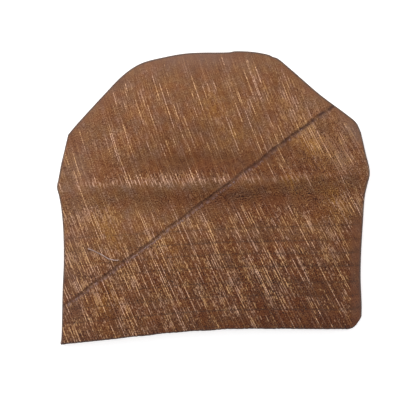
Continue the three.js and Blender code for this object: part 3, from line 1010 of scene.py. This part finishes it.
class Finish:
    """A material and its nodes."""

    def __init__(self, name, roughness, sheen=0.0):
        self.material = bpy.data.materials.new(name)
        self.material.use_nodes = True
        self.tree = self.material.node_tree
        self.surface = self.tree.nodes["Principled BSDF"]
        self.set("Roughness", roughness)
        self.set("Specular IOR Level", 0.3)
        self.set("Sheen Weight", sheen)
        self.set("Sheen Roughness", 0.5)

    def feed(self, socket, value):
        """Joins a node's value to a socket, or sets the socket to a fixed value."""
        if isinstance(value, Value):
            self.tree.links.new(value.socket, socket)
        else:
            socket.default_value = value

    def set(self, name, value):
        """Feeds one of the surface's own sockets."""
        self.feed(self.surface.inputs[name], value)

    def node(self, kind, inputs, output, **settings):
        """Adds a node with its settings and inputs, and gives one of its outputs."""
        made = self.tree.nodes.new(kind)
        for name, value in settings.items():
            setattr(made, name, value)
        for socket, value in inputs.items():
            self.feed(made.inputs[socket], value)
        return Value(self, made.outputs[output])

    def blend(self, share, first, second, kind="MIX"):
        """The first colour, changed by a share towards its blend with the second."""
        inputs = {0: share, 6: first, 7: second}
        return self.node("ShaderNodeMix", inputs, 2, data_type="RGBA", blend_type=kind)

    def map(self, name):
        """Both values of one of the piece's own maps."""
        place = self.node("ShaderNodeUVMap", {}, 0, uv_map=name)
        return [self.node("ShaderNodeSeparateXYZ", {0: place}, output) for output in (0, 1)]

    def field(self, name):
        """One of the piece's named values."""
        return self.node("ShaderNodeAttribute", {}, "Fac", attribute_name=name)

    def millimetres(self):
        """The place in the piece, in millimetres."""
        place = self.node("ShaderNodeTexCoord", {}, "Object")
        return self.node("ShaderNodeVectorMath", {0: place, 1: (1 / MM,) * 3}, 0, operation="MULTIPLY")

    def bump(self, height, distance):
        """Lets light fall as if the surface stood up by height times a distance in millimetres."""
        self.set("Normal", self.node("ShaderNodeBump", {"Height": height, "Distance": distance * MM}, 0))


def noise(u, v, detail=1.0, roughness=0.5):
    """Smooth noise over a plane, 0.5 on average, with features about one unit wide."""
    place = u.finish.node("ShaderNodeCombineXYZ", {0: u, 1: v}, 0)
    inputs = {"Vector": place, "Scale": 1.0, "Detail": detail, "Roughness": roughness}
    return u.finish.node("ShaderNodeTexNoise", inputs, 0, noise_dimensions="2D")


def chance(number):
    """A number between 0 and 1, drawn for each number that goes in."""
    return number.finish.node("ShaderNodeTexWhiteNoise", {"W": number}, 0, noise_dimensions="1D")


LONG_PITCH, SHORT_PITCH, CREST_PITCH = 2.4, 1.3, 2.9
YARN_PITCH = 0.62
PICK_PITCH, PICK_SKEW, PICK_SWAY = 2.1, 0.36, 6.0
LONG_GLOW, FAINT_GLOW, SHORT_GLOW = (1.74, 1.84), (1.44, 1.62), (1.76, 1.94)
LONG_WIDTH, SHORT_WIDTH, CREST_WIDTH = (0.09, 0.17), (0.16, 0.32), (0.1, 0.17)
CREST_START, CREST_SPREAD = RIDGE_UP - 1.6, 3.0


def own_place(across, pitch, wander, seed):
    """Which thread a point lies on, and how far it is from the thread's middle, which has its own place
    within the pitch."""
    place = across / pitch
    index = place.floor()
    middle = chance(index + seed) * wander + 0.5 * (1 - wander)
    return index, abs(place - index - middle)


def patches(across, along):
    """Slow changes of how much metal thread shows, longer along the threads than across them."""
    broad = noise(across / 22, along / 42)
    narrow = noise(across / 5, along / 30 + 17)
    return narrow * 0.35 + broad * 0.4


def long_runs(finish, across, along, amount, ripple):
    """Bright runs of metal thread, each thread with runs of its own along its length. The picks cross
    them, the weave breaks up the weaker ones, and they go on faintly past their ends. Gives their
    strength, and a number of each thread's own."""
    index, centre = own_place(across, LONG_PITCH, 0.55, 0.37)
    own = chance(index)
    run = noise(index * 9.17, along / 30)
    gap = noise(index * 5.31, along / 3.4, 0.0)
    cut = noise(index * 2.47, along / 11, 0.0).ramp(0.45, 0.58, 0.4, 0.0) * finish.field("broken")
    glow = own * 0.5 + (run + amount) - cut
    shown = glow.ramp(*LONG_GLOW)
    whole = (shown * 0.3 + gap).ramp(0.5, 0.66)
    level = noise(index * 3.73, along / 9).ramp(0.32, 0.62, 0.6, 1.0)
    strength = (shown * whole * level).larger(glow.ramp(*FAINT_GLOW, 0.0, 0.17))
    return strength * ripple.ramp(-0.7, 0.5, 0.35, 1.15) * centre.fade(*LONG_WIDTH), own


def short_runs(across, along, amount):
    """Short dashes of metal thread between the long runs, where a pick now and then lets it through."""
    index, centre = own_place(across, SHORT_PITCH, 0.4, 0.53)
    dash = noise(index * 4.19, along / 2.8, 0.0)
    run = noise(index * 7.91, along / 17)
    glow = run * 0.9 + (dash * 0.7 + amount)
    return glow.ramp(*SHORT_GLOW) * centre.fade(*SHORT_WIDTH)


def crest_glints(finish, across, climb):
    """Where the threads bend over the ridge's crest, every few of them shine for a few millimetres."""
    index, centre = own_place(across, CREST_PITCH, 0.5, 0.13)
    own = chance(index + 0.71)
    reach = abs(climb - (chance(index + 0.5) * CREST_SPREAD + CREST_START))
    seen = reach.fade(1.2, 3.0) * centre.fade(*CREST_WIDTH)
    return seen * (finish.field("crest") * own.ramp(0.2, 1.0))


def yarns(across, along):
    """The plain weave under the metal thread: each yarn and each pick with a tone of its own, uneven
    spinning along it, and a ripple of light and dark picks, which lie skew to the threads. Gives the
    tone, about 0 on average, the ripple and the height."""
    yarn = across / YARN_PITCH
    pick = noise(across / 9, along / 13) * PICK_SWAY + (across * PICK_SKEW + along) / PICK_PITCH
    yarn_tone = noise(yarn.floor() * 7.77, along * 0.06, 2.0)
    pick_tone = noise(pick.floor() * 6.13, across * 0.1, 2.0)
    speck = noise(across * 1.1, along * 0.8, 2.0)
    ripple = (pick * ONE_TURN).sine()
    return speck + (yarn_tone * 0.7 + pick_tone * 0.5) - 1.1, ripple, (yarn * ONE_TURN).sine() * ripple


def cloth_finish():
    """Brown aso oke: the weave above the seam or the one below it, with metal thread, uneven dye, painted
    shade in the seam groove and in the stitch rows' furrows, and painted grey-brown shade along its folds."""
    finish = Finish("brown_strip_cloth", 0.72, sheen=0.06)
    above, beside = finish.map("seam")
    is_upper = above.exceeds(0.0)
    weaves = zip(finish.map("above_seam"), finish.map("below_seam"))
    across, along = (lower + is_upper * (upper - lower) for upper, lower in weaves)
    climb, glint, picks = (finish.field(name) for name in ("climb", "glint", "picks"))

    # The metal thread, made bright in the base colour: its own gold and a painted reflection
    tone, ripple, over = yarns(across, along)
    amount = patches(across, along) + glint
    runs, own = long_runs(finish, across, along, amount, ripple)
    dashes = short_runs(across, along, amount) * climb.ramp(90, 165, 0.5, 0.35)
    bright = runs.larger(crest_glints(finish, across, climb)).larger(dashes)
    bright = bright * climb.ramp(118, 165, 1.0, 0.88)

    # The dye
    patch = noise(across / 30, along / 19, 2.0, 0.6)
    other = noise(across / 10, along / 14 + 31, 2.0)
    ochre = finish.field("ochre") * noise(across / 2.6, along / 8, 2.0).ramp(0.36, 0.6, 0.15, 0.8)
    dyed = finish.blend(patch.ramp(0.36, 0.62), colour(123, 76, 44), colour(118, 77, 45))
    dyed = finish.blend(other.ramp(0.5, 0.72, 0.0, 0.4), dyed, colour(116, 80, 62))
    dyed = finish.blend(other.ramp(0.5, 0.3, 0.0, 0.45), dyed, colour(128, 80, 38))
    dyed = finish.blend(ochre, dyed, colour(158, 108, 44))

    # Light and dark, with the painted light and shade of the tone field: the darker the cloth, the deeper
    # its brown
    level = tone * 1.1 + (finish.field("tone") + 0.84)
    level = level + noise(across / 2.3, along / 34, 2.0) * 0.26
    level = level + ripple * (picks * 0.24 + patch.ramp(0.35, 0.65, 0.02, 0.08))
    grained = glint.ramp(0.0, 0.7, 0.2, 0.9) * climb.ramp(105, 165, 1.25, 1.0)
    grained = grained + picks * 0.9 + finish.field("broken") * 0.7
    level = level + (noise(across, along * 0.85 + 57, 0.0) - 0.5) * grained
    levels = {0: level, 1: level**1.62, 2: level**2.45}
    cloth = finish.blend(1.0, dyed, finish.node("ShaderNodeCombineColor", levels, 0), "MULTIPLY")
    cloth = finish.blend(finish.field("greyed"), cloth, colour(132, 104, 92))

    rosy = own * 0.4 + other.ramp(0.36, 0.6, 0.0, 0.6)
    rosy = rosy.larger(abs(climb - RIDGE_UP).fade(3, 7))
    metal = finish.blend(rosy, colour(246, 194, 130), colour(237, 190, 160))
    # The metal thread's light gold in the base colour is its own colour and also a painted reflection
    cloth = finish.blend(bright * 0.95, cloth, metal)

    # The seam's lip, and painted shade in its groove, in the furrows of the stitch rows and along the folds
    sewn = noise(beside * 0.16, 3.0, 2.0)
    rubbed = noise(beside * 0.3, 8.0, 2.0)
    lip = abs(above + 2.2).fade(0.5, 1.7) * rubbed.ramp(0.42, 0.6) * beside.ramp(-20, 90, 0.6, 0.25)
    # Painted shade in the seam's groove
    groove = abs(above + 0.1).fade(0.3, 2.9) * sewn.ramp(0.3, 0.62, 0.35, 0.75)
    groove = groove * beside.ramp(20, 120, 1.0, 1.3)
    # Painted shade in the stitch rows' furrows
    furrow = finish.field("furrow") * sewn.ramp(0.3, 0.6, 0.1, 0.42)
    # Painted grey-brown shade along the folds and edges, where the cloth turns away from the light
    painted_rim_shade = finish.field("rim").ramp(0.6, 2.6, 0.72, 0.0)
    cloth = finish.blend(lip, cloth, colour(150, 118, 112))
    cloth = finish.blend(groove, cloth, colour(72, 42, 30))
    cloth = finish.blend(furrow, cloth, colour(66, 38, 25))
    cloth = finish.blend(painted_rim_shade, cloth, colour(66, 55, 51))

    finish.set("Base Color", cloth)
    finish.set("Metallic", bright * 0.3)
    finish.set("Roughness", bright * -0.3 + patch.ramp(0.3, 0.7, 0.82, 0.7))
    finish.bump(bright * 0.6 + over * 0.5, 0.12)
    return finish.material


def lining_finish():
    """Plain brown cloth inside the band, with fine crossing yarns and uneven dye."""
    finish = Finish("plain_lining_cloth", 0.9, sheen=0.15)
    place = finish.millimetres()
    yarn = finish.node("ShaderNodeTexWave", {"Vector": place, "Scale": 0.45, "Distortion": 1.5}, 1)
    mottle = finish.node("ShaderNodeTexNoise", {"Vector": place, "Scale": 0.3, "Detail": 4.0}, 0)
    dyed = finish.blend(mottle.ramp(0.35, 0.65), colour(84, 60, 44), colour(104, 76, 56))
    finish.set("Base Color", finish.blend(yarn * 0.3, dyed, colour(66, 46, 34)))
    finish.set("Roughness", mottle.ramp(0.3, 0.7, 0.95, 0.82))
    finish.bump(yarn, 0.1)
    return finish.material


def thread_finish(name, dark, light, roughness, turns_scale):
    """Two-ply sewing thread: light and dark turns close together, the dark ones painted shade where the
    plies wind under each other, and a slow change along it.
    """
    finish = Finish(name, roughness, sheen=0.1)
    place = finish.millimetres()
    inputs = {"Vector": place, "Scale": turns_scale, "Distortion": 0.6}
    turns = finish.node("ShaderNodeTexWave", inputs, 1, bands_direction="DIAGONAL")
    slow = finish.node("ShaderNodeTexNoise", {"Vector": place, "Scale": 0.21, "Detail": 2.0}, 0)
    # The dark turns are painted shade between the plies
    finish.set("Base Color", finish.blend(turns * 0.5 + slow.ramp(0.3, 0.7, 0.0, 0.5), dark, light))
    finish.set("Roughness", slow.ramp(0.3, 0.7, roughness - 0.08, roughness + 0.08))
    finish.bump(turns, 0.06)
    return finish.material


def dress(piece, material, slot, *nodes):
    """Gives a piece its finish and its body, and hides the solids that it stands for."""
    piece.data.materials.append(material)
    if nodes:
        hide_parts(*nodes)
    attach(piece, "root")


# Camera, floor and light

# The floor and the lights are in metres.
FLOOR_SIZE, FLOOR_DROP, FLOOR_GLOW = 12.0, 0.0003, 0.5
VIEW_WIDTH = 380.0
VIEW_AIM = (-12.35, -2.3, 4.0)
LENS, SENSOR = 135.0, 36.0


def add_camera():
    """Straight above the cap, so far up that the view is as wide as the photograph at the cap's folds."""
    data = bpy.data.cameras.new("camera")
    data.lens, data.sensor_width = LENS, SENSOR
    data.clip_end = 30.0
    camera = new_object("camera", data)
    camera.location = Vector(VIEW_AIM) * MM + Vector((0, 0, VIEW_WIDTH * LENS / SENSOR * MM))
    bpy.context.scene.camera = camera


def add_light(name, place, size, energy, warmth=(1.0, 1.0, 1.0)):
    """A square soft light at a place in metres, turned to the cap."""
    data = bpy.data.lights.new(name, "AREA")
    data.shape = "SQUARE"
    data.size, data.energy, data.color = size, energy, warmth
    light = new_object(name, data)
    light.location = place
    light.rotation_euler = (-Vector(place)).to_track_quat("-Z", "Y").to_euler()


def add_floor():
    """A plain pale floor, just under the cap, which shines a little of its own."""
    bpy.ops.mesh.primitive_plane_add(size=FLOOR_SIZE, location=(0, 0, -FLOOR_DROP))
    floor = bpy.context.object
    floor.name = "floor"
    finish = Finish("pale_floor", 0.9)
    finish.set("Base Color", (0.93, 0.93, 0.93, 1.0))
    finish.set("Emission Color", (1.0, 1.0, 1.0, 1.0))
    finish.set("Emission Strength", FLOOR_GLOW)
    floor.data.materials.append(finish.material)


def add_world():
    """A pale even light from all round."""
    world = bpy.data.worlds.new("studio")
    world.use_nodes = True
    background = world.node_tree.nodes["Background"]
    background.inputs["Color"].default_value = (0.97, 0.98, 1.0, 1.0)
    background.inputs["Strength"].default_value = 0.4
    bpy.context.scene.world = world


add_camera()
add_floor()
add_world()
add_light("key", (-0.75, 1.15, 1.25), 0.5, 20.0, (1.0, 0.98, 0.95))
add_light("overhead", (0.3, -0.2, 1.9), 1.8, 12.0)
bpy.context.scene.view_settings.view_transform = "Standard"

dress(cap_cloth(), cloth_finish(), "strip_cloth", "cloth_shell")
dress(band_lining(), lining_finish(), "facing_cloth", "band_facing")
brown = thread_finish("brown_thread", colour(60, 40, 28), colour(96, 64, 44), 0.7, 1.1)
lilac = thread_finish("lilac_thread", colour(132, 104, 100), colour(190, 160, 154), 0.65, 0.9)
pale = thread_finish("pale_thread", colour(128, 100, 98), colour(238, 212, 202), 0.6, 0.5)
dress(row_stitches(), brown, "strip_cloth")
dress(seam_threads(), lilac, "strip_cloth")
dress(loose_thread(), pale, "strip_cloth")
